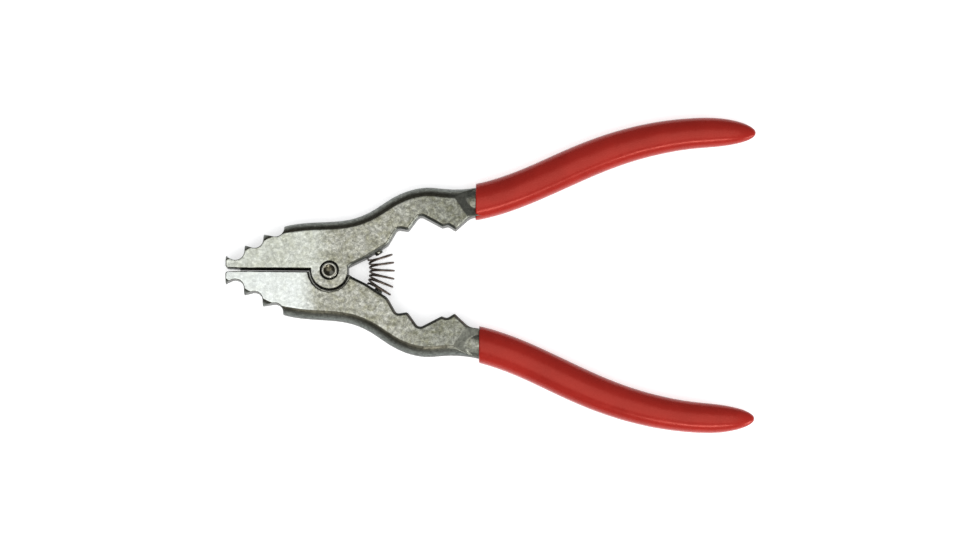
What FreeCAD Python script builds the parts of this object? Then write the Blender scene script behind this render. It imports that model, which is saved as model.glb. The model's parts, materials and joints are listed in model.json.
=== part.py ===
"""Chain-link pliers: two identical forged levers lapped on one rivet, with notches outside the jaws.

The levers don't cross, so squeezing the handles drives the jaws apart and pulls open a chain link hooked
over a pair of jaw notches. The facing notches on the arms squeeze a link shut. A coil spring, bent round
the rivet, pushes the handles apart again, and each handle is a forged tang in a dipped coating.

Everything is drawn in millimetres about the rivet: X runs from the jaws to the handles, Y across the tool
from the lower lever to the upper one, and Z through its thickness, with the parting line and the lap at
Z = 0. The lower lever is the upper one's forging turned over about X. At the end the whole tool is moved so
that it lies on Z = 0 with its outer box centred on the origin.
"""

import FreeCAD
import Part
import math
import os

from FreeCAD import Vector

# ---------------------------------------------------------------- forging
LEVER_THICKNESS = 11.0      # across the two flat cheeks
DRAFT_INSET = 0.2           # how far an inner wall leans in between the parting line and its bevel
EDGE_BEVEL = 0.9            # width and depth of the bevel between an inner wall and the cheek
CROWN_ROUNDING = 5.65       # rounding of the lever's outer edge
CROWN_ROUNDING_TIP = 4.6    # the same at the jaw's tip
CROWN_CUT = 0.3             # how much of that rounding the flat cheek cuts away
LEAST_ROUNDING = 0.2        # of a corner that the draft has closed up

# ---------------------------------------------------------------- jaws
JAW_REACH = 39.4            # rivet to jaw tip
JAW_GAP = 0.12              # between the jaws' inner faces at rest, at the parting line
JAW_FACE_LEAN = 0.65        # how far each inner face leans back from there to the cheek
TIP_RELIEF = 0.55           # depth of the straight relief in each inner face at the tip
TIP_RELIEF_LENGTH = 5.4
TIP_FLARE = 0.2             # how much deeper the relief is at its mouth
TIP_CORNER = 0.9            # rounding of the tip's inner corner
TAPER_START = 14.0          # rivet to where the jaw starts to thin
TAPER_ANGLE = 2.2           # lean of each cheek from there to the tip, degrees
CUSP_LAND = 0.5             # width left between two notches at the outer edge
NOTCH_WIDTHS = (7.1, 7.1, 7.8)         # from the tip towards the rivet
NOTCH_FLOORS = (3.6, 8.25, 12.6)       # lowest point of each notch above the middle line
NOTCH_RADII = (3.5, 3.3, 3.3)
NOTCH_ENTRIES = (31.0, 20.0, 14.0)     # slope of each floor below its front cusp, degrees
CUSP_RISES = (5.2, 9.2, 13.5, 16.8)    # outer edge at the tip and at each notch's rear wall

# ---------------------------------------------------------------- pivot
BOSS_RADIUS = 7.5           # round boss at the lap plane
BOSS_LEAN = 0.5             # how much smaller it is at the cheek
BOSS_CLEARANCE = 0.75       # from the boss to the recess it turns in
LAP_CLEARANCE = 0.10        # between the two levers at the lap plane
CORNER_MARGIN = 0.35        # from the recess to where the arm's inner edge starts, in X
CORNER_RISE = 2.1           # that corner above the middle line
RIVET_RADIUS = 2.6
RIVET_RUNNING = 0.05        # radial clearance in the lever that turns on it
HEAD_OVERHANG = 0.55        # how far a head reaches past the shank
HEAD_STAND = 0.5            # crown of the head above the cheek
HEAD_RIM = 0.55             # rounding of the head's edge
HEAD_LAND = 0.4             # flat ring between the head's rounded edge and its dimple
DIMPLE_DEPTH = 0.9
COUNTERBORE_CLEARANCE = 0.4
COUNTERBORE_DEPTH = 1.2
SEAT_CLEARANCE = 0.05       # between a head and the lever that turns

# ---------------------------------------------------------------- arm, neck and handle
NECK_X = 55.0               # rivet to neck, in X
FLANK_POINT = (46.4, 29.0)  # a point on the line where the cheek ends
FLANK_HEADING = 35.0        # direction in which the cheek falls away there, in plan
FLANK_FALL = 20.0           # slope of that fall, degrees
HANDLE_REACH = 161.7        # rivet to the end of the grip, in X
HANDLE_FLATNESS = 0.84      # a grip's thickness over its width
NOSE_LENGTH = 21.6          # length of its rounded end
COAT = 1.5                  # thickness of the dipped coating
COAT_AT_END = 4.0           # and at the handle's end
UPPER_DIP_X = 55.2          # where each coating starts, in X
LOWER_DIP_X = 57.0

# ---------------------------------------------------------------- return spring
SPRING_RADIUS = 19.9        # rivet to the middle of the coils
COIL_DIAMETER = 9.9         # outside the wire
WIRE_DIAMETER = 0.8
COIL_TURNS = 6
SPRING_CLEARANCE = 0.1      # between the end coils' inner side and the arms
COIL_LEANS = (-0.9, 3.0)    # how far the first and the last coil's outer side lean towards the lower lever
COIL_TILT = 0.15            # how far each coil's near side leans towards the upper lever
NUB_RADIUS = 1.6            # forged nub that each end coil sits round
NUB_HEIGHT = 1.0

# ---------------------------------------------------------------- sizes that follow
HALF = LEVER_THICKNESS / 2
RECESS_RADIUS = BOSS_RADIUS + BOSS_CLEARANCE
HEAD_RADIUS = RIVET_RADIUS + HEAD_OVERHANG
DIMPLE_RADIUS = HEAD_RADIUS - HEAD_RIM - HEAD_LAND
COUNTERBORE_RADIUS = HEAD_RADIUS + COUNTERBORE_CLEARANCE
SEAT = HALF - COUNTERBORE_DEPTH
JAW_FACE = JAW_GAP / 2
BEYOND = 80.0               # cutters reach this far past the lever
BLANK_SPARE = 5.0           # how far the blank reaches past the jaw, before it is cut to shape
BLANK_TOP = 50.0            # and how far it reaches beyond the outer edge, in Y

# the rear wall of each notch, in X, with the tip in front
NOTCH_WALLS = [-JAW_REACH + sum(NOTCH_WIDTHS[:count]) for count in range(len(NOTCH_WIDTHS) + 1)]

# outer edge at the parting line, from the jaw's shoulder to the neck
OUTER_EDGE = ((-9.5, 18.2), (0.0, 18.8), (8.3, 19.95), (16.0, 23.2), (23.5, 28.1), (30.5, 31.2),
              (37.5, 32.3), (44.0, 31.8), (50.0, 31.8), (NECK_X + 3.0, 33.1))

# the arm's inner edge from the boss to the neck: X, Y and the corner's rounding
INNER_EDGE = ((RECESS_RADIUS + CORNER_MARGIN, CORNER_RISE, 0.0), (14.0, 4.7, 9.0), (22.3, 10.0, 4.0),
              (25.8, 16.05, 1.5), (29.9, 15.35, 1.4), (34.2, 21.3, 1.7), (42.7, 16.8, 0.9), (44.8, 17.5, 1.3),
              (47.7, 15.7, 0.6), (53.4, 20.9, 5.0), (NECK_X + 4.0, 21.6, 0.0))

# the handle's middle line: X as a share of the way from the neck to the end, and Y
HANDLE_LINE = ((-0.04, 26.25), (0.075, 28.9), (0.235, 35.6), (0.422, 44.6), (0.61, 51.15),
               (0.797, 54.25), (0.9, 54.6), (1.0, 54.45))
# the grip's half width along it, before the end is rounded
HANDLE_HALF_WIDTHS = ((-0.04, 6.95), (0.13, 6.75), (0.4, 6.7), (0.63, 6.25), (0.8, 5.8), (1.0, 5.75))

# ---------------------------------------------------------------- how finely things are drawn
OVAL_POINTS = 16            # round each section of a handle
OVAL_POWER = 0.88           # below 1, the section's corners are fuller than an ellipse's
STRAIGHT_SECTIONS = 8       # along a handle, up to its rounded end
NOSE_TURNS = (20, 40, 55, 68, 80)      # where the sections of the rounded end lie, degrees
LAST_SECTION = 0.02         # from the last section to the end
COIL_POINTS = 12            # round each turn of the spring
EDGE_BREAK = 0.4            # rounding of a nub's end
NUB_ROOT = 3.0              # how deep a nub reaches into the arm


def between(table, at):
    """Straight interpolation in a table of (place, value)."""
    for (a, low), (b, high) in zip(table, table[1:]):
        if at <= b:
            return low + (high - low) * max(0.0, (at - a) / (b - a))
    return table[-1][1]


def spline(points, periodic=False):
    curve = Part.BSplineCurve()
    curve.interpolate(points, PeriodicFlag=periodic)
    return curve


def prism(points, low, high):
    """A straight-sided solid over a polygon in plan."""
    corners = [Vector(x, y, low) for x, y in points]
    return Part.Face(Part.makePolygon(corners + corners[:1])).extrude(Vector(0, 0, high - low))


def cylinder(radius, low, high, x=0.0, y=0.0):
    return Part.makeCylinder(radius, high - low, Vector(x, y, low))


def turned_over(shape):
    """The same shape for the other lever, turned half round about X."""
    copy = shape.copy()
    copy.rotate(Vector(0, 0, 0), Vector(1, 0, 0), 180)
    return copy


def rounded_outline(corners, height=0.0, inset=0.0):
    """A closed wire with rounded corners. The solid lies to its left, and inset moves the wire that way."""
    plan = [Vector(x, y, 0) for x, y, _ in corners]
    after = plan[1:] + plan[:1]
    runs = [(b - a).normalize() for a, b in zip(plan, after)]
    starts = []
    ends = []
    arcs = []
    for index, (corner, (_, _, radius)) in enumerate(zip(plan, corners)):
        into = runs[index - 1]
        out = runs[index]
        turn = math.atan2(into.cross(out).z, into.dot(out))
        inward = Vector(-into.y - out.y, into.x + out.x, 0)
        moved = corner + inward * (2 * inset / inward.dot(inward)) + Vector(0, 0, height)
        if radius:
            radius = max(radius - math.copysign(inset, turn), LEAST_ROUNDING)
        reach = radius * math.tan(abs(turn) / 2)
        starts.append(moved - into * reach)
        ends.append(moved + out * reach)
        depth = radius / math.cos(turn / 2) - radius
        arcs.append(moved + (out - into).normalize() * depth if radius else None)
    edges = []
    for index, middle in enumerate(arcs):
        if middle:
            edges.append(Part.Arc(starts[index], middle, ends[index]).toShape())
        edges.append(Part.LineSegment(ends[index], starts[(index + 1) % len(plan)]).toShape())
    return Part.Wire(edges)


def drafted_blank():
    """Jaw and arm as a block whose inner walls lean in from the parting line to a bevelled edge."""
    front = -JAW_REACH - BLANK_SPARE
    below = -BLANK_SPARE
    outside = ((NECK_X, BLANK_TOP, 0.0), (front, BLANK_TOP, 0.0), (front, below, 0.0), (0.0, below, 0.0))
    outline = INNER_EDGE + outside
    levels = ((0.0, 0.0), (HALF - EDGE_BEVEL, DRAFT_INSET), (HALF, DRAFT_INSET + EDGE_BEVEL))
    layers = []
    for side in (1, -1):
        wires = [rounded_outline(outline, side * height, inset) for height, inset in levels]
        layers += [Part.makeLoft([low, high], True, True) for low, high in zip(wires, wires[1:])]
    return layers[0].fuse(layers[1:])


def crowned_block():
    """Everything inside the lever's outer edge, which is rounded over on both sides."""
    front = Vector(NOTCH_WALLS[0] - 6.0, CUSP_RISES[0] - 3.4, 0)
    jaw = [Vector(wall, rise, 0) for wall, rise in zip(NOTCH_WALLS, CUSP_RISES)]
    arm = [Vector(x, y, 0) for x, y in OUTER_EDGE]
    edge = spline([front] + jaw + arm).toShape()
    top = HALF + CROWN_CUT
    back = arm[-1]
    corners = [back, Vector(back.x, -30, 0), Vector(front.x, -30, 0), front]
    sides = [Part.LineSegment(a, b).toShape() for a, b in zip(corners, corners[1:])]
    face = Part.Face(Part.Wire([edge] + sides))
    face.translate(Vector(0, 0, -top))
    block = face.extrude(Vector(0, 0, 2 * top))
    for height in (top, -top):
        for candidate in block.Edges:
            box = candidate.BoundBox
            level = box.ZLength < 0.01 and abs(box.ZMin - height) < 0.01
            if level and box.XLength > BEYOND and box.YMin > front.y - 1.0:
                block = block.makeFillet(CROWN_ROUNDING_TIP, CROWN_ROUNDING, [candidate])
                break
    return block


def notch_cutter(index):
    """What is cut away for one notch: a round floor between a straight rear wall and a sharp front cusp."""
    front = NOTCH_WALLS[index] + CUSP_LAND
    wall = NOTCH_WALLS[index + 1]
    radius = NOTCH_RADII[index]
    slope = math.radians(NOTCH_ENTRIES[index])
    x = wall - radius
    y = NOTCH_FLOORS[index] + radius
    touch = (x - radius * math.sin(slope), y - radius * math.cos(slope))
    far = (touch[0] - BEYOND * math.cos(slope), touch[1] + BEYOND * math.sin(slope))
    above = prism([touch, (x, y), (wall, y), (wall, BEYOND), (far[0], BEYOND), far], -BEYOND, BEYOND)
    room = prism([(front, 0.0), (wall, 0.0), (wall, BEYOND), (front, BEYOND)], -BEYOND, BEYOND)
    return above.fuse(cylinder(radius, -BEYOND, BEYOND, x, y)).common(room)


def jaw_window():
    """Plan of what is kept of the blank: it ends at the tip, which is relieved below."""
    tip = -JAW_REACH
    relief_end = tip + TIP_RELIEF_LENGTH
    relief = JAW_FACE + TIP_RELIEF
    corners = ((tip, relief + TIP_FLARE, TIP_CORNER), (relief_end, relief, 0.0), (relief_end, -BEYOND, 0.0),
               (BEYOND, -BEYOND, 0.0), (BEYOND, BEYOND, 0.0), (tip, BEYOND, 0.0))
    return Part.Face(rounded_outline(corners, -BEYOND)).extrude(Vector(0, 0, 2 * BEYOND))


def inner_face_cutter():
    """What is cut away below the jaw's inner face, which leans back from the parting line to both cheeks."""
    reach = 2 * HALF
    lean = JAW_FACE_LEAN * reach / HALF
    leant = JAW_FACE + lean
    section = [(JAW_FACE, 0.0), (leant, reach), (-BEYOND, reach), (-BEYOND, -reach), (leant, -reach)]
    corners = [Vector(-BEYOND, y, z) for y, z in section]
    return Part.Face(Part.makePolygon(corners + corners[:1])).extrude(Vector(2 * BEYOND, 0, 0))


def taper_cutter():
    """The wedge that thins the jaw towards its tip, above the near cheek."""
    drop = BEYOND * math.tan(math.radians(TAPER_ANGLE))
    end = -TAPER_START - BEYOND
    corners = [Vector(-TAPER_START, 0, HALF), Vector(-TAPER_START, 0, LEVER_THICKNESS),
               Vector(end, 0, LEVER_THICKNESS), Vector(end, 0, HALF - drop)]
    return Part.Face(Part.makePolygon(corners + corners[:1])).extrude(Vector(0, BEYOND, 0))


def flank_cutter():
    """The wedge that slopes the near cheek down to the neck."""
    drop = BEYOND * math.tan(math.radians(FLANK_FALL))
    corners = [Vector(0, 0, 0), Vector(BEYOND, 0, -drop), Vector(BEYOND, 0, HALF), Vector(0, 0, HALF)]
    wedge = Part.Face(Part.makePolygon(corners + corners[:1])).extrude(Vector(0, 2 * BEYOND, 0))
    wedge.translate(Vector(0, -BEYOND, 0))
    wedge.rotate(Vector(0, 0, 0), Vector(0, 0, 1), FLANK_HEADING)
    wedge.translate(Vector(FLANK_POINT[0], FLANK_POINT[1], HALF))
    return wedge


def other_cheek(cutter):
    """The same cut on the far cheek of the same lever."""
    return cutter.mirror(Vector(0, 0, 0), Vector(0, 0, 1))


def handle_section(curve, distance, half_width, half_depth):
    """A soft-cornered oval across the handle's middle line."""
    place = curve.parameterAtDistance(distance, curve.FirstParameter)
    middle = curve.value(place)
    along = curve.tangent(place)[0]
    across = Vector(-along.y, along.x, 0)
    points = []
    for step in range(OVAL_POINTS):
        angle = 2 * math.pi * step / OVAL_POINTS
        sides = (math.cos(angle), math.sin(angle))
        y, z = (math.copysign(abs(side) ** OVAL_POWER, side) for side in sides)
        points.append(middle + across * (half_width * y) + Vector(0, 0, half_depth * z))
    return Part.Wire(spline(points, True).toShape())


def handle_body(coat, coat_at_end):
    """The handle's rounded bar, smaller all round by the coat that is to lie on it."""
    run = HANDLE_REACH - NECK_X
    curve = spline([Vector(NECK_X + run * share, y, 0) for share, y in HANDLE_LINE])
    length = curve.length() - coat_at_end
    straight = length - NOSE_LENGTH + coat_at_end
    stations = [straight * step / STRAIGHT_SECTIONS for step in range(STRAIGHT_SECTIONS + 1)]
    stations += [straight + (length - straight) * math.sin(math.radians(turn)) for turn in NOSE_TURNS]
    stations.append(length - LAST_SECTION)
    sections = []
    for distance in stations:
        share = (curve.value(curve.parameterAtDistance(distance, curve.FirstParameter)).x - NECK_X) / run
        into_nose = max(0.0, (distance - straight) / (length - straight))
        nose = math.sqrt(1 - into_nose ** 2)
        half_width = between(HANDLE_HALF_WIDTHS, share)
        half_depth = half_width * HANDLE_FLATNESS
        sizes = ((half_width - coat) * nose, (half_depth - coat) * nose)
        sections.append(handle_section(curve, distance, *sizes))
    return Part.makeLoft(sections, True, False)


def wall_by_spring():
    """Direction of the arm's inner wall beside the spring, and its distance from the rivet."""
    near = Vector(*INNER_EDGE[1][:2], 0)
    far = Vector(*INNER_EDGE[2][:2], 0)
    along = (far - near).normalize()
    return math.atan2(along.y, along.x), near.cross(along).z


def angle_below_wall(radius, clearance):
    """Angle about the rivet of a point at that radius, with that clearance below the upper arm's wall."""
    heading, distance = wall_by_spring()
    return heading - math.asin((distance + clearance) / radius)


def spring_nub():
    """The stub on the arm's inner wall that the spring's end coil sits round."""
    angle = angle_below_wall(SPRING_RADIUS, 0.0)
    root = Vector(SPRING_RADIUS * math.cos(angle), SPRING_RADIUS * math.sin(angle), 0)
    heading = wall_by_spring()[0]
    out = Vector(math.sin(heading), -math.cos(heading), 0)
    stub = Part.makeCylinder(NUB_RADIUS, NUB_HEIGHT + NUB_ROOT, root - out * NUB_ROOT, out)
    end = max(stub.Edges, key=lambda edge: edge.CenterOfMass.dot(out))
    return stub.makeFillet(EDGE_BREAK, [end])


def forging():
    """The upper lever before its pivot hole is drilled."""
    lever = drafted_blank().common(crowned_block()).common(jaw_window()).cut(inner_face_cutter())
    for index in range(len(NOTCH_WIDTHS)):
        lever = lever.cut(notch_cutter(index))
    for cutter in (taper_cutter(), flank_cutter()):
        lever = lever.cut(cutter).cut(other_cheek(cutter))
    lap = LAP_CLEARANCE / 2
    lever = lever.cut(cylinder(RECESS_RADIUS, -BEYOND, lap))
    boss = Part.makeCone(BOSS_RADIUS, BOSS_RADIUS - BOSS_LEAN, HALF - lap, Vector(0, 0, lap))
    return lever.fuse([boss, handle_body(COAT, COAT_AT_END), spring_nub()])


def drilled(lever, radius):
    """The lever with its pivot hole and the counterbore for a rivet head in its own cheek."""
    hole = cylinder(radius, -BEYOND, BEYOND)
    return lever.cut(hole.fuse(cylinder(COUNTERBORE_RADIUS, SEAT, BEYOND)))


def rivet():
    """A rivet with a rounded, dimpled head in each counterbore. It is fast in the lower lever."""
    top = HALF + HEAD_STAND
    rim = HEAD_RADIUS - HEAD_RIM

    def at(x, z):
        return Vector(x, 0, z)

    def arc(a, b, c):
        return Part.Arc(a, b, c).toShape()

    def line(a, b):
        return Part.LineSegment(a, b).toShape()

    edge_level = top - HEAD_RIM
    diagonal = HEAD_RIM * math.sqrt(0.5)
    bowl_radius = (DIMPLE_RADIUS ** 2 + DIMPLE_DEPTH ** 2) / (2 * DIMPLE_DEPTH)
    bowl = [at(DIMPLE_RADIUS * share, top - DIMPLE_DEPTH + bowl_radius
               - math.sqrt(bowl_radius ** 2 - (DIMPLE_RADIUS * share) ** 2)) for share in (0, 0.5, 1)]
    upper = [arc(*bowl),
             line(bowl[2], at(rim, top)),
             arc(at(rim, top), at(rim + diagonal, edge_level + diagonal), at(HEAD_RADIUS, edge_level)),
             line(at(HEAD_RADIUS, edge_level), at(HEAD_RADIUS, SEAT + SEAT_CLEARANCE)),
             line(at(HEAD_RADIUS, SEAT + SEAT_CLEARANCE), at(RIVET_RADIUS, SEAT + SEAT_CLEARANCE)),
             line(at(RIVET_RADIUS, SEAT + SEAT_CLEARANCE), at(RIVET_RADIUS, 0)),
             line(at(RIVET_RADIUS, 0), at(0, 0)),
             line(at(0, 0), bowl[0])]
    half = Part.Face(Part.Wire(upper)).revolve(Vector(0, 0, 0), Vector(0, 0, 1), 360)
    foot = turned_over(half).fuse(cylinder(HEAD_RADIUS, -SEAT - SEAT_CLEARANCE - HEAD_RIM / 2, -SEAT))
    return half.fuse(foot).removeSplitter()


def return_spring():
    """A round wire coiled about an axis that is itself an arc round the rivet."""
    coil_radius = (COIL_DIAMETER - WIRE_DIAMETER) / 2
    top = angle_below_wall(SPRING_RADIUS - coil_radius, WIRE_DIAMETER / 2 + SPRING_CLEARANCE)
    steps = COIL_TURNS * COIL_POINTS
    path = []
    for step in range(steps + 1):
        share = step / steps
        place = top * (1 - 2 * share)
        turn = math.pi + 2 * math.pi * COIL_TURNS * share
        outward = Vector(math.cos(place), math.sin(place), 0)
        back = Vector(math.sin(place), -math.cos(place), 0)
        lean = (COIL_LEANS[0] + (COIL_LEANS[1] - COIL_LEANS[0]) * share) * (1 + math.cos(turn)) / 2
        lean -= COIL_TILT * math.sin(turn)
        point = outward * (SPRING_RADIUS + coil_radius * math.cos(turn)) + back * lean
        path.append(point + Vector(0, 0, coil_radius * math.sin(turn)))
    curve = spline(path)
    start = curve.FirstParameter
    section = Part.Wire(Part.Circle(path[0], curve.tangent(start)[0], WIRE_DIAMETER / 2).toShape())
    return Part.Wire(curve.toShape()).makePipeShell([section], True, True)


def grip(lever, dip_x, other_side=False):
    """The dipped coating over one handle's tang, from where it starts to the handle's end."""
    bare = Part.makeBox(BEYOND, 2 * BEYOND, BEYOND, Vector(dip_x - BEYOND, 0, -BEYOND / 2))
    skin = handle_body(0.0, 0.0).cut(bare)
    if other_side:
        skin = turned_over(skin)
    return skin.cut(lever)


def build():
    """Every piece about the rivet, by node name."""
    blank = forging()
    upper = drilled(blank, RIVET_RADIUS + RIVET_RUNNING)
    lower = turned_over(drilled(blank, RIVET_RADIUS))
    return {
        "lever_upper": upper,
        "lever_lower": lower,
        "pivot_rivet": rivet(),
        "return_spring": return_spring(),
        "grip_upper": grip(upper, UPPER_DIP_X),
        "grip_lower": grip(lower, LOWER_DIP_X, True),
    }


pieces = build()
middle = Vector((HANDLE_REACH - JAW_REACH) / 2, 0, -(HALF + HEAD_STAND))
os.makedirs("parts", exist_ok=True)
for name, shape in pieces.items():
    shape.translate(-middle)
    shape.exportStep(f"parts/{name}.step")
    print(name, shape.isValid(), len(shape.Solids), round(shape.Volume, 1), shape.BoundBox)
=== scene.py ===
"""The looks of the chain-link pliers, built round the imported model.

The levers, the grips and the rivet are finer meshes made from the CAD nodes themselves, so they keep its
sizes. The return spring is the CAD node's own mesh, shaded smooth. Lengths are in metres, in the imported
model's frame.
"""

import json
import math

import bmesh
import bpy
from mathutils import Matrix, Vector


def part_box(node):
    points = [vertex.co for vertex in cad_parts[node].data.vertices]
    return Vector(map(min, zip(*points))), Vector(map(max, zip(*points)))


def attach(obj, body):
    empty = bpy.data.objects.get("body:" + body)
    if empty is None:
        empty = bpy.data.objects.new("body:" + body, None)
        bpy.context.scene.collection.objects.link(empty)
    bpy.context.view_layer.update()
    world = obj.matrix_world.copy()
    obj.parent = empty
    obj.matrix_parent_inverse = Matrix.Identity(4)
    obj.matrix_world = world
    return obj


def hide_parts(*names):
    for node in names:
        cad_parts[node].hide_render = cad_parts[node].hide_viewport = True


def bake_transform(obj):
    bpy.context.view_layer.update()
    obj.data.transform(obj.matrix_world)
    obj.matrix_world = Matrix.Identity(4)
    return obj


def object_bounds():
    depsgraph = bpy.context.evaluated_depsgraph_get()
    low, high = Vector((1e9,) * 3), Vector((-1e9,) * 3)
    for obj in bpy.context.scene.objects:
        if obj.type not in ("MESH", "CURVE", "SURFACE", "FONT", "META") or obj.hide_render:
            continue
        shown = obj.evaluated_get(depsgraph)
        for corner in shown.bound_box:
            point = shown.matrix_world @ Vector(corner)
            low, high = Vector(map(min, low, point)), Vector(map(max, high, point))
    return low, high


MM = 0.001

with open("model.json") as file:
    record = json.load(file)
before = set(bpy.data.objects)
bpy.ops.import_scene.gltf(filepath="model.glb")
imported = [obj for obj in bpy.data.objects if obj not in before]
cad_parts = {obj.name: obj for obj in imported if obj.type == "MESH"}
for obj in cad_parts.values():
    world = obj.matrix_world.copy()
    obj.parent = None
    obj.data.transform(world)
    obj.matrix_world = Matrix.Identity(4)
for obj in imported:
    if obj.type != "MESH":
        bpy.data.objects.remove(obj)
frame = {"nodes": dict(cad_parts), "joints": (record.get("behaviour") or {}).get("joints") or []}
cad_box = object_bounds()

joint = frame["joints"][0]
PIVOT = Vector(joint["pos_m"])
CENTRE = (Vector(cad_box[0]) + Vector(cad_box[1])) / 2

# ------------------------------------------------------------------ camera and stage
CAMERA_DISTANCE = 1.9
CAMERA_ELEVATION = 85.0          # degrees above the floor, from the lower lever's side
CAMERA_ROLL = 0.56               # degrees
PICTURE_WIDTH = 0.3716           # of the floor plane that the picture takes in
AIM = Vector((-0.0006, -0.0008, PIVOT.z))

FORGED_VOXEL = 0.28 * MM
GRIP_VOXEL = 0.45 * MM
RIVET_VOXEL = 0.09 * MM
SMOOTHING = 0.5                  # how far each round of smoothing moves a vertex, as a share
FORGED_ROUNDS = 3
GRIP_ROUNDS = 6
RIVET_ROUNDS = 3
TANG_LEFT = 4 * MM               # how much of each tang is kept inside its coating
WELD = 0.001 * MM                # vertices closer than this are joined

FLOOR_SIZE = 8.0


# ------------------------------------------------------------------ small helpers
def new_object(name, mesh):
    made = bpy.data.objects.new(name, mesh)
    bpy.context.scene.collection.objects.link(made)
    return made


def select_only(target):
    bpy.ops.object.select_all(action="DESELECT")
    target.select_set(True)
    bpy.context.view_layer.objects.active = target


def copy_of(node, name):
    """A separate object with its own copy of a CAD node's mesh, joined up along its edges."""
    made = new_object(name, frame["nodes"][node].data.copy())
    made.data.materials.clear()
    mesh = bmesh.new()
    mesh.from_mesh(made.data)
    bmesh.ops.remove_doubles(mesh, verts=mesh.verts[:], dist=WELD)
    mesh.to_mesh(made.data)
    mesh.free()
    return made


def remesh(target, voxel, rounds):
    """Closes the mesh into even small faces, then smooths it so that its edges are softly broken."""
    target.data.remesh_voxel_size = voxel
    target.data.remesh_voxel_adaptivity = 0.0
    select_only(target)
    bpy.ops.object.voxel_remesh()
    smooth = target.modifiers.new("soften", "SMOOTH")
    smooth.factor = SMOOTHING
    smooth.iterations = rounds
    bpy.ops.object.modifier_apply(modifier=smooth.name)
    for face in target.data.polygons:
        face.use_smooth = True


def trim(target, x):
    """Cuts a closed mesh across at X, keeps what lies below and closes the cut."""
    mesh = bmesh.new()
    mesh.from_mesh(target.data)
    everything = mesh.verts[:] + mesh.edges[:] + mesh.faces[:]
    plane = {"plane_co": (x, 0, 0), "plane_no": (1, 0, 0)}
    cut = bmesh.ops.bisect_plane(mesh, geom=everything, clear_outer=True, **plane)
    rim = [item for item in cut["geom_cut"] if isinstance(item, bmesh.types.BMEdge)]
    bmesh.ops.edgeloop_fill(mesh, edges=rim)
    bmesh.ops.triangulate(mesh, faces=mesh.faces[:])
    mesh.to_mesh(target.data)
    mesh.free()


def place(piece, body, node):
    """The piece moves with the body and stands in for the CAD node."""
    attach(piece, body)
    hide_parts(node)


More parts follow.
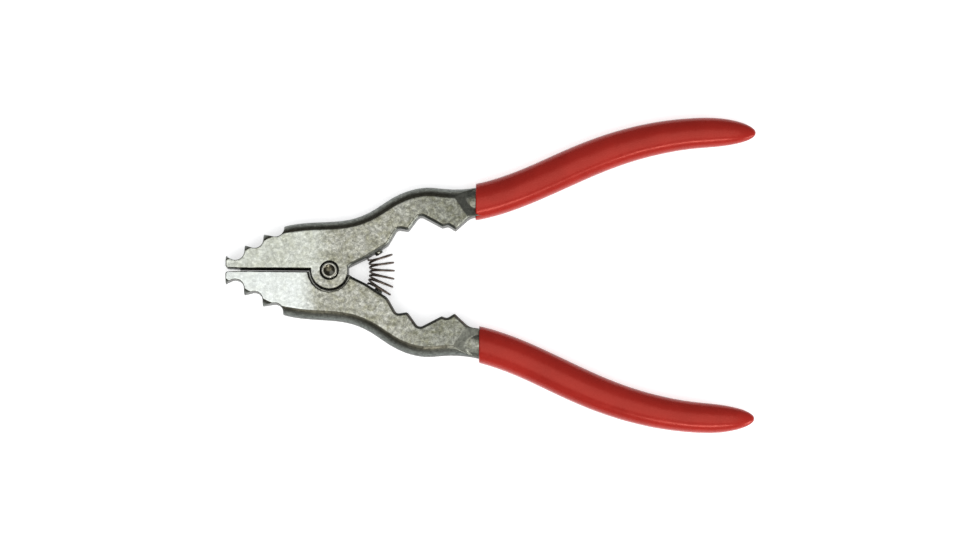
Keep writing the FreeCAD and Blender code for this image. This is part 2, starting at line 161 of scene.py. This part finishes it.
# ------------------------------------------------------------------ materials
class Nodes:
    """Short calls for building a material's node tree."""

    def __init__(self, name):
        self.material = bpy.data.materials.new(name)
        self.material.use_nodes = True
        self.tree = self.material.node_tree
        self.shader = self.tree.nodes["Principled BSDF"]
        self.place = self.add("ShaderNodeTexCoord").outputs["Object"]

    def add(self, kind, **values):
        made = self.tree.nodes.new(kind)
        for key, value in values.items():
            setattr(made, key, value)
        return made

    def link(self, source, target):
        self.tree.links.new(source, target)

    def noise(self, size, detail=3.0, roughness=0.55, distortion=0.0):
        """Noise whose features are about that size, in metres."""
        made = self.add("ShaderNodeTexNoise")
        made.inputs["Scale"].default_value = 1.0 / size
        made.inputs["Detail"].default_value = detail
        made.inputs["Roughness"].default_value = roughness
        made.inputs["Distortion"].default_value = distortion
        self.link(self.place, made.inputs["Vector"])
        return made.outputs["Fac"]

    def ramp(self, source, *stops):
        """Each stop is (place, colour or grey)."""
        made = self.add("ShaderNodeValToRGB")
        elements = made.color_ramp.elements
        while len(elements) < len(stops):
            elements.new(0.5)
        for element, (at, colour) in zip(elements, stops):
            element.position = at
            rgb = (colour,) * 3 if isinstance(colour, (int, float)) else colour
            element.color = (*rgb, 1.0)
        self.link(source, made.inputs["Fac"])
        return made.outputs["Color"]

    def mix(self, factor, a, b, blend="MIX"):
        made = self.add("ShaderNodeMix", data_type="RGBA", blend_type=blend)
        for socket, value in ((made.inputs[0], factor), (made.inputs[6], a), (made.inputs[7], b)):
            if isinstance(value, bpy.types.NodeSocket):
                self.link(value, socket)
            elif isinstance(value, (int, float)):
                socket.default_value = value
            else:
                socket.default_value = (*value, 1.0)
        return made.outputs[2]

    def math(self, operation, a, b):
        made = self.add("ShaderNodeMath", operation=operation)
        for socket, value in zip(made.inputs, (a, b)):
            if isinstance(value, bpy.types.NodeSocket):
                self.link(value, socket)
            else:
                socket.default_value = value
        return made.outputs[0]

    def bump(self, *layers):
        """Each layer is (height, depth in metres)."""
        normal = None
        for height, depth in layers:
            made = self.add("ShaderNodeBump")
            made.inputs["Strength"].default_value = 1.0
            made.inputs["Distance"].default_value = depth
            self.link(height, made.inputs["Height"])
            if normal:
                self.link(normal, made.inputs["Normal"])
            normal = made.outputs["Normal"]
        self.link(normal, self.shader.inputs["Normal"])

    def worn_edges(self, low, high):
        """0 on flats and in hollows, rising to 1 on edges."""
        pointiness = self.add("ShaderNodeNewGeometry").outputs["Pointiness"]
        return self.ramp(pointiness, (low, 0.0), (high, 1.0))

    def axes(self):
        """The three object coordinates, in metres."""
        made = self.add("ShaderNodeSeparateXYZ")
        self.link(self.place, made.inputs["Vector"])
        return made.outputs

    def rise(self, source, low, high):
        """0 below low, 1 above high, with a soft step between. Low may be the larger."""
        made = self.add("ShaderNodeMapRange", interpolation_type="SMOOTHSTEP")
        made.inputs["From Min"].default_value = low
        made.inputs["From Max"].default_value = high
        self.link(source, made.inputs["Value"])
        return made.outputs["Result"]

    def distance_from(self, x, y):
        """Distance in plan from a point, in metres."""
        flat = self.add("ShaderNodeVectorMath", operation="MULTIPLY")
        flat.inputs[1].default_value = (1.0, 1.0, 0.0)
        self.link(self.place, flat.inputs[0])
        made = self.add("ShaderNodeVectorMath", operation="DISTANCE")
        made.inputs[1].default_value = (x, y, 0.0)
        self.link(flat.outputs[0], made.inputs[0])
        return made.outputs["Value"]

    def flatness(self):
        """How nearly the surface faces straight up or down: 1 on the cheeks, 0 on upright walls."""
        made = self.add("ShaderNodeSeparateXYZ")
        self.link(self.add("ShaderNodeTexCoord").outputs["Normal"], made.inputs["Vector"])
        return self.math("ABSOLUTE", made.outputs["Z"], 0.0)


def forged_steel():
    """Shot-blasted cheeks, brighter on the jaws; every other side has the dark forged scale with painted
    shade by slope, darkest next to the cheeks and on upright walls, and painted light on the neck's upward
    faces.
    """
    n = Nodes("forged_steel")
    x, y, _ = n.axes()
    flat = n.flatness()
    patches = n.noise(3.2 * MM, 4.0, 0.62, 0.5)
    blotch = n.noise(1.3 * MM, 3.0, 0.6, 0.3)
    speckle = n.noise(0.5 * MM, 2.0, 0.6)
    on_upper_jaw = n.rise(x, PIVOT.x + 3 * MM, PIVOT.x - 8 * MM)
    on_lower_jaw = n.rise(x, PIVOT.x - 2 * MM, PIVOT.x - 13 * MM)
    on_far_arm = n.rise(x, PIVOT.x + 20 * MM, PIVOT.x + 42 * MM)
    below = n.rise(y, 0.5 * MM, -0.5 * MM)
    on_jaw = n.mix(below, on_upper_jaw, on_lower_jaw)
    on_neck = n.rise(x, PIVOT.x + 43 * MM, PIVOT.x + 50 * MM)

    arm = n.mix(on_far_arm, (0.30, 0.30, 0.262), (0.205, 0.208, 0.178))
    jaw = n.mix(below, (0.43, 0.445, 0.40), (0.54, 0.565, 0.54))
    tone = n.mix(on_jaw, arm, jaw)
    stain = n.mix(n.ramp(patches, (0.34, 1.0), (0.60, 0.0)), (1.0, 1.0, 1.0), (0.66, 0.65, 0.55))
    light = n.ramp(blotch, (0.36, 0.74), (0.50, 1.0), (0.66, 1.34))
    grain = n.ramp(speckle, (0.36, 0.78), (0.50, 1.0), (0.64, 1.16))
    mottle = n.mix(1.0, n.mix(1.0, stain, light, "MULTIPLY"), grain, "MULTIPLY")
    calm = n.math("MULTIPLY", on_jaw, n.mix(below, (0.45, 0.45, 0.45), (0.78, 0.78, 0.78)))
    mottle = n.mix(calm, mottle, (1.0, 1.0, 1.0))
    cheek = n.mix(1.0, tone, mottle, "MULTIPLY")

    # painted shade by slope: the forged scale's tone is set by how far each face tilts from level, darkest on
    # the band beside the cheeks and on upright walls; partly the scale's own darker colour, partly painted
    # shade
    scale_and_painted_slope_shading = n.ramp(flat, (0.10, (0.070, 0.070, 0.060)), (0.45, (0.135, 0.148, 0.136)),
                  (0.72, (0.115, 0.119, 0.102)), (0.86, (0.062, 0.058, 0.042)), (0.93, (0.105, 0.100, 0.076)))
    # painted light: the neck's upward-facing faces are given a lighter tone
    painted_neck_top_light = n.math("MULTIPLY", on_neck, n.rise(flat, 0.55, 0.90))
    scale_and_painted_slope_shading = n.mix(painted_neck_top_light, scale_and_painted_slope_shading, (0.155, 0.158, 0.132))
    scale_and_painted_slope_shading = n.mix(1.0, scale_and_painted_slope_shading, n.ramp(blotch, (0.35, 0.72), (0.65, 1.30)), "MULTIPLY")
    colour = n.mix(n.rise(flat, 0.955, 0.992), scale_and_painted_slope_shading, cheek)
    edges = n.worn_edges(0.54, 0.62)
    colour = n.mix(n.math("MULTIPLY", edges, 0.35), colour, (0.36, 0.36, 0.33))
    n.link(colour, n.shader.inputs["Base Color"])
    n.shader.inputs["Metallic"].default_value = 1.0
    rough = n.ramp(blotch, (0.3, 0.46), (0.7, 0.34))
    n.link(rough, n.shader.inputs["Roughness"])
    n.bump((blotch, 0.035 * MM), (speckle, 0.022 * MM), (n.noise(7 * MM, 2.0), 0.08 * MM))
    return n.material


def rivet_steel():
    """A rivet head whose dimple is coloured darker than its rim, with a painted highlight on one side of the
    dimple.
    """
    n = Nodes("rivet_steel")
    stain = n.noise(1.2 * MM, 3.0, 0.6, 0.4)
    in_dimple = n.rise(n.distance_from(PIVOT.x, PIVOT.y), 2.35 * MM, 2.0 * MM)
    # painted highlight: a bright patch on the lower-right side of the dimple
    painted_highlight_spot = n.rise(n.distance_from(PIVOT.x + 1.0 * MM, PIVOT.y - 1.1 * MM), 1.15 * MM, 0.5 * MM)
    rim = n.ramp(stain, (0.35, (0.18, 0.175, 0.145)), (0.65, (0.31, 0.305, 0.265)))
    dimple = n.ramp(stain, (0.35, (0.055, 0.048, 0.030)), (0.65, (0.13, 0.12, 0.085)))
    colour = n.mix(n.math("MULTIPLY", painted_highlight_spot, 0.85), n.mix(in_dimple, rim, dimple), (0.62, 0.60, 0.50))
    n.link(colour, n.shader.inputs["Base Color"])
    n.shader.inputs["Metallic"].default_value = 1.0
    n.link(n.ramp(stain, (0.3, 0.36), (0.7, 0.24)), n.shader.inputs["Roughness"])
    n.bump((n.noise(0.5 * MM, 3.0), 0.02 * MM))
    return n.material


def spring_wire():
    """Brown oxidised wire."""
    n = Nodes("spring_wire")
    oxide = n.noise(0.8 * MM, 3.0, 0.6)
    colour = n.ramp(oxide, (0.35, (0.060, 0.044, 0.034)), (0.7, (0.17, 0.13, 0.105)))
    n.link(colour, n.shader.inputs["Base Color"])
    n.shader.inputs["Metallic"].default_value = 0.85
    n.link(n.ramp(oxide, (0.3, 0.46), (0.7, 0.34)), n.shader.inputs["Roughness"])
    n.bump((n.noise(0.25 * MM, 2.0), 0.008 * MM))
    return n.material


def dipped_vinyl():
    """Glossy red coating, clouded and finely flecked."""
    n = Nodes("dipped_vinyl")
    cloud = n.noise(14 * MM, 3.0, 0.5, 0.5)
    fine = n.noise(0.9 * MM, 3.0, 0.6)
    deep = n.ramp(cloud, (0.35, (0.31, 0.017, 0.012)), (0.65, (0.36, 0.021, 0.015)))
    fleck = n.math("MULTIPLY", n.ramp(fine, (0.45, 0.0), (0.8, 1.0)), 0.15)
    colour = n.mix(fleck, deep, (0.42, 0.034, 0.024))
    n.link(colour, n.shader.inputs["Base Color"])
    n.link(n.ramp(n.noise(3 * MM, 3.0), (0.3, 0.30), (0.7, 0.22)), n.shader.inputs["Roughness"])
    n.shader.inputs["IOR"].default_value = 1.5
    n.shader.inputs["Specular Tint"].default_value = (1.0, 0.28, 0.22, 1.0)
    n.bump((n.noise(6 * MM, 2.0, 0.4), 0.06 * MM), (fine, 0.006 * MM))
    return n.material


def floor_white():
    """Plain matt white that glows a little, so that it stays pale between the lights."""
    n = Nodes("floor_white")
    n.link(n.ramp(n.noise(0.2, 2.0), (0.3, 0.93), (0.7, 0.95)), n.shader.inputs["Base Color"])
    n.shader.inputs["Roughness"].default_value = 0.9
    n.shader.inputs["Emission Color"].default_value = (1.0, 1.0, 1.0, 1.0)
    n.shader.inputs["Emission Strength"].default_value = 0.50
    return n.material


# ------------------------------------------------------------------ pieces
def lever(node, body, grip, material):
    """The forging, without the part of its tang that the coating hides."""
    made = copy_of(node, f"{node}_forging")
    trim(made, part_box(grip)[0].x + TANG_LEFT)
    remesh(made, FORGED_VOXEL, FORGED_ROUNDS)
    made.data.materials.append(material)
    place(made, body, node)


def dipped_grip(node, body, material):
    """The coating, with the soft lip and the slightly uneven surface that dipping leaves."""
    made = copy_of(node, f"{node}_coating")
    remesh(made, GRIP_VOXEL, GRIP_ROUNDS)
    made.data.materials.append(material)
    place(made, body, node)


def rivet(material):
    """It is fast in the lower lever, so it rides on that body."""
    made = copy_of("pivot_rivet", "pivot_rivet_turned")
    remesh(made, RIVET_VOXEL, RIVET_ROUNDS)
    made.data.materials.append(material)
    place(made, "lower_half", "pivot_rivet")


def spring(material):
    """The coil: the CAD node's own mesh, shaded smooth, standing in for the hidden node."""
    made = copy_of("return_spring", "return_spring_wire")
    for face in made.data.polygons:
        face.use_smooth = True
    made.data.materials.append(material)
    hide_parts("return_spring")
    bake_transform(made)


# ------------------------------------------------------------------ stage
def area_light(name, azimuth, elevation, distance, size, power):
    """A soft light that faces the tool. Azimuth is counted from +X towards +Y."""
    data = bpy.data.lights.new(name, "AREA")
    data.shape = "RECTANGLE"
    data.size = size[0]
    data.size_y = size[1]
    data.energy = power
    made = new_object(name, data)
    a = math.radians(azimuth)
    e = math.radians(elevation)
    offset = Vector((math.cos(a) * math.cos(e), math.sin(a) * math.cos(e), math.sin(e))) * distance
    made.location = CENTRE + offset
    made.rotation_euler = offset.to_track_quat("Z", "Y").to_euler()


def stage():
    bpy.ops.mesh.primitive_grid_add(x_subdivisions=4, y_subdivisions=4, size=FLOOR_SIZE)
    floor = bpy.context.object
    floor.name = "floor"
    floor.data.materials.append(floor_white())
    world = bpy.data.worlds.new("studio")
    world.use_nodes = True
    background = world.node_tree.nodes["Background"]
    background.inputs["Color"].default_value = (0.93, 0.96, 1.0, 1.0)
    background.inputs["Strength"].default_value = 0.22
    bpy.context.scene.world = world
    bpy.context.scene.view_settings.view_transform = "Standard"
    area_light("overhead", -90, 82, 1.9, (2.2, 1.4), 23)
    area_light("strip", -78, 37, 1.5, (0.70, 0.05), 8)
    area_light("low_window", -36, 9, 1.3, (0.55, 0.22), 7)


def camera():
    data = bpy.data.cameras.new("camera")
    data.sensor_width = 36.0
    data.lens = data.sensor_width * CAMERA_DISTANCE / PICTURE_WIDTH
    made = new_object("camera", data)
    tilt = math.radians(90 - CAMERA_ELEVATION)
    made.location = AIM + Vector((0, -math.sin(tilt), math.cos(tilt))) * CAMERA_DISTANCE
    turn = Matrix.Rotation(tilt, 4, "X") @ Matrix.Rotation(math.radians(CAMERA_ROLL), 4, "Z")
    made.rotation_euler = turn.to_euler()
    bpy.context.scene.camera = made


steel = forged_steel()
vinyl = dipped_vinyl()
lever("lever_upper", "upper_half", "grip_upper", steel)
lever("lever_lower", "lower_half", "grip_lower", steel)
dipped_grip("grip_upper", "upper_half", vinyl)
dipped_grip("grip_lower", "lower_half", vinyl)
rivet(rivet_steel())
spring(spring_wire())
stage()
camera()
